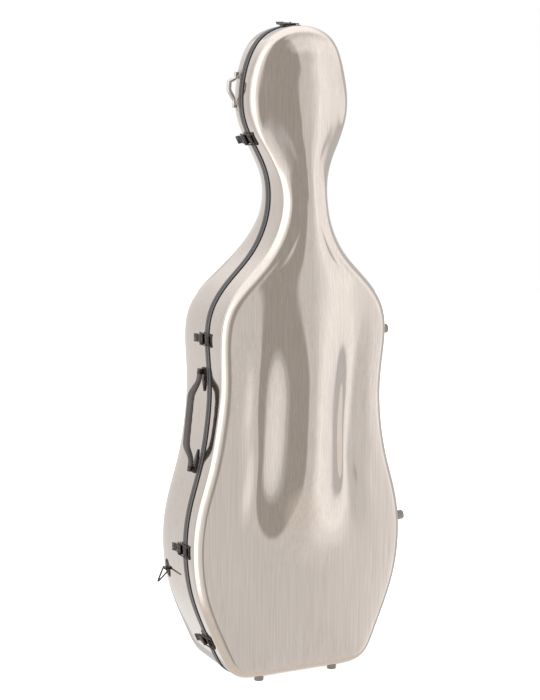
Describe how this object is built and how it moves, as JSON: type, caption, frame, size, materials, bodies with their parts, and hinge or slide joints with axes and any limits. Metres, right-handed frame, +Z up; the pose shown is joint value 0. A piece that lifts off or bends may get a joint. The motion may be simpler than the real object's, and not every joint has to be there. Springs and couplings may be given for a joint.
{
  "type": "cello hard case",
  "caption": "Glossy moulded hard case for a cello, with a hinged lid, draw latches, carrying handles, strap rings, rubber feet and a padded inside.",
  "frame": {"origin": "middle of the bounding box, at the level of the feet that the case stands on", "axes": "+Z up along the case towards its head, +Y towards the back shell, -Y towards the lid, +X towards the hinges"},
  "size_m": [0.5216, 0.2982, 1.3733],
  "materials": {
    "shell": "brushed metal look under clear gloss",
    "rim": "satin edge band",
    "hardware": "dark nickel",
    "grip": "satin",
    "foot": "matte",
    "lining": "plush over foam",
    "webbing": "woven"
  },
  "bodies": {
    "back": {"back_shell": "shell", "back_rim": "rim", "back_lining": "lining", "latch_top_base": "hardware", "latch_neck_base": "hardware", "latch_upper_base": "hardware", "latch_lower_base": "hardware", "latch_corner_base": "hardware", "hinge_lower_back_leaf": "hardware", "hinge_middle_back_leaf": "hardware", "hinge_upper_back_leaf": "hardware", "side_handle_lower_post": "hardware", "side_handle_upper_post": "hardware", "head_handle_lower_post": "hardware", "head_handle_upper_post": "hardware", "strap_ring_left_plate": "hardware", "strap_ring_right_plate": "hardware", "foot_bottom_back_left": "foot", "foot_bottom_back_right": "foot", "foot_side_back_lower": "foot", "foot_side_back_upper": "foot", "neck_cradle": "lining", "neck_strap": "webbing", "end_cushion": "lining"},
    "lid": {"lid_shell": "shell", "lid_rim": "rim", "lid_lining": "lining", "latch_top_keeper": "hardware", "latch_neck_keeper": "hardware", "latch_upper_keeper": "hardware", "latch_lower_keeper": "hardware", "latch_corner_keeper": "hardware", "hinge_lower_lid_leaf": "hardware", "hinge_middle_lid_leaf": "hardware", "hinge_upper_lid_leaf": "hardware", "foot_bottom_lid_left": "foot", "foot_bottom_lid_right": "foot", "foot_side_lid_lower": "foot", "foot_side_lid_upper": "foot", "bow_clip_left_base": "hardware", "bow_clip_right_base": "hardware", "bow_pocket_left": "lining", "bow_pocket_right": "lining", "accessory_pouch": "lining"},
    "top_lever": {"latch_top_lever": "hardware"},
    "top_bail": {"latch_top_bail": "hardware"},
    "neck_lever": {"latch_neck_lever": "hardware"},
    "neck_bail": {"latch_neck_bail": "hardware"},
    "upper_lever": {"latch_upper_lever": "hardware"},
    "upper_bail": {"latch_upper_bail": "hardware"},
    "lower_lever": {"latch_lower_lever": "hardware"},
    "lower_bail": {"latch_lower_bail": "hardware"},
    "corner_lever": {"latch_corner_lever": "hardware"},
    "corner_bail": {"latch_corner_bail": "hardware"},
    "side_grip": {"side_handle_grip": "grip"},
    "head_grip": {"head_handle_grip": "grip"},
    "left_ring": {"strap_ring_left": "hardware"},
    "right_ring": {"strap_ring_right": "hardware"},
    "left_button": {"bow_clip_left_button": "hardware"},
    "right_button": {"bow_clip_right_button": "hardware"}
  },
  "joints": [
    {"name": "lid_hinge", "type": "hinge", "parent": "back", "child": "lid", "pos_m": [0.23921, -0.03231, 0.3912], "axis": [-0.1218, 0, 0.9926], "range_deg": [0, 110]},
    {"name": "top_lever_pivot", "type": "hinge", "parent": "back", "child": "top_lever", "pos_m": [-0.00289, -0.01731, 1.36756], "axis": [0.9999, 0, 0.0171], "range_deg": [0, 110]},
    {"name": "top_bail_pivot", "type": "hinge", "parent": "top_lever", "child": "top_bail", "pos_m": [-0.00289, -0.00731, 1.36756], "axis": [0.9999, 0, 0.0171], "range_deg": [-143, 0]},
    {"name": "neck_lever_pivot", "type": "hinge", "parent": "back", "child": "neck_lever", "pos_m": [-0.09582, -0.01731, 1.13416], "axis": [-0.4543, 0, 0.8909], "range_deg": [0, 110]},
    {"name": "neck_bail_pivot", "type": "hinge", "parent": "neck_lever", "child": "neck_bail", "pos_m": [-0.09582, -0.00731, 1.13416], "axis": [-0.4543, 0, 0.8909], "range_deg": [-143, 0]},
    {"name": "upper_lever_pivot", "type": "hinge", "parent": "back", "child": "upper_lever", "pos_m": [-0.19434, -0.01731, 0.72975], "axis": [-0.0024, 0, 1], "range_deg": [0, 110]},
    {"name": "upper_bail_pivot", "type": "hinge", "parent": "upper_lever", "child": "upper_bail", "pos_m": [-0.19434, -0.00731, 0.72975], "axis": [-0.0024, 0, 1], "range_deg": [-143, 0]},
    {"name": "lower_lever_pivot", "type": "hinge", "parent": "back", "child": "lower_lever", "pos_m": [-0.24685, -0.01731, 0.29225], "axis": [-0.0039, 0, 1], "range_deg": [0, 110]},
    {"name": "lower_bail_pivot", "type": "hinge", "parent": "lower_lever", "child": "lower_bail", "pos_m": [-0.24685, -0.00731, 0.29225], "axis": [-0.0039, 0, 1], "range_deg": [-143, 0]},
    {"name": "corner_lever_pivot", "type": "hinge", "parent": "back", "child": "corner_lever", "pos_m": [-0.1949, -0.01731, 0.08976], "axis": [-0.4067, 0, 0.9136], "range_deg": [0, 110]},
    {"name": "corner_bail_pivot", "type": "hinge", "parent": "corner_lever", "child": "corner_bail", "pos_m": [-0.1949, -0.00731, 0.08976], "axis": [-0.4067, 0, 0.9136], "range_deg": [-143, 0]},
    {"name": "side_grip_swing", "type": "hinge", "parent": "back", "child": "side_grip", "pos_m": [-0.20796, -0.00831, 0.56046], "axis": [-0.1152, 0, -0.9933], "range_deg": [-70, 75]},
    {"name": "head_grip_swing", "type": "hinge", "parent": "back", "child": "head_grip", "pos_m": [-0.11579, -0.01131, 1.2346], "axis": [-0.074, 0, -0.9973], "range_deg": [-75, 75]},
    {"name": "left_ring_swing", "type": "hinge", "parent": "back", "child": "left_ring", "pos_m": [-0.24087, 0.07461, 0.22795], "axis": [0, 1, 0], "range_deg": [-35, 125]},
    {"name": "right_ring_swing", "type": "hinge", "parent": "back", "child": "right_ring", "pos_m": [0.24087, 0.07461, 0.22795], "axis": [0, -1, 0], "range_deg": [-35, 125]},
    {"name": "left_button_turn", "type": "hinge", "parent": "lid", "child": "left_button", "pos_m": [-0.10867, -0.05996, 0.36206], "axis": [0, -1, 0], "range_deg": [0, 90]},
    {"name": "right_button_turn", "type": "hinge", "parent": "lid", "child": "right_button", "pos_m": [0.10867, -0.05996, 0.36206], "axis": [0, -1, 0], "range_deg": [0, 90]}
  ],
  "couplings": [
    {"joint": "top_bail_pivot", "follows": "top_lever_pivot", "ratio": -1.3},
    {"joint": "neck_bail_pivot", "follows": "neck_lever_pivot", "ratio": -1.3},
    {"joint": "upper_bail_pivot", "follows": "upper_lever_pivot", "ratio": -1.3},
    {"joint": "lower_bail_pivot", "follows": "lower_lever_pivot", "ratio": -1.3},
    {"joint": "corner_bail_pivot", "follows": "corner_lever_pivot", "ratio": -1.3}
  ]
}
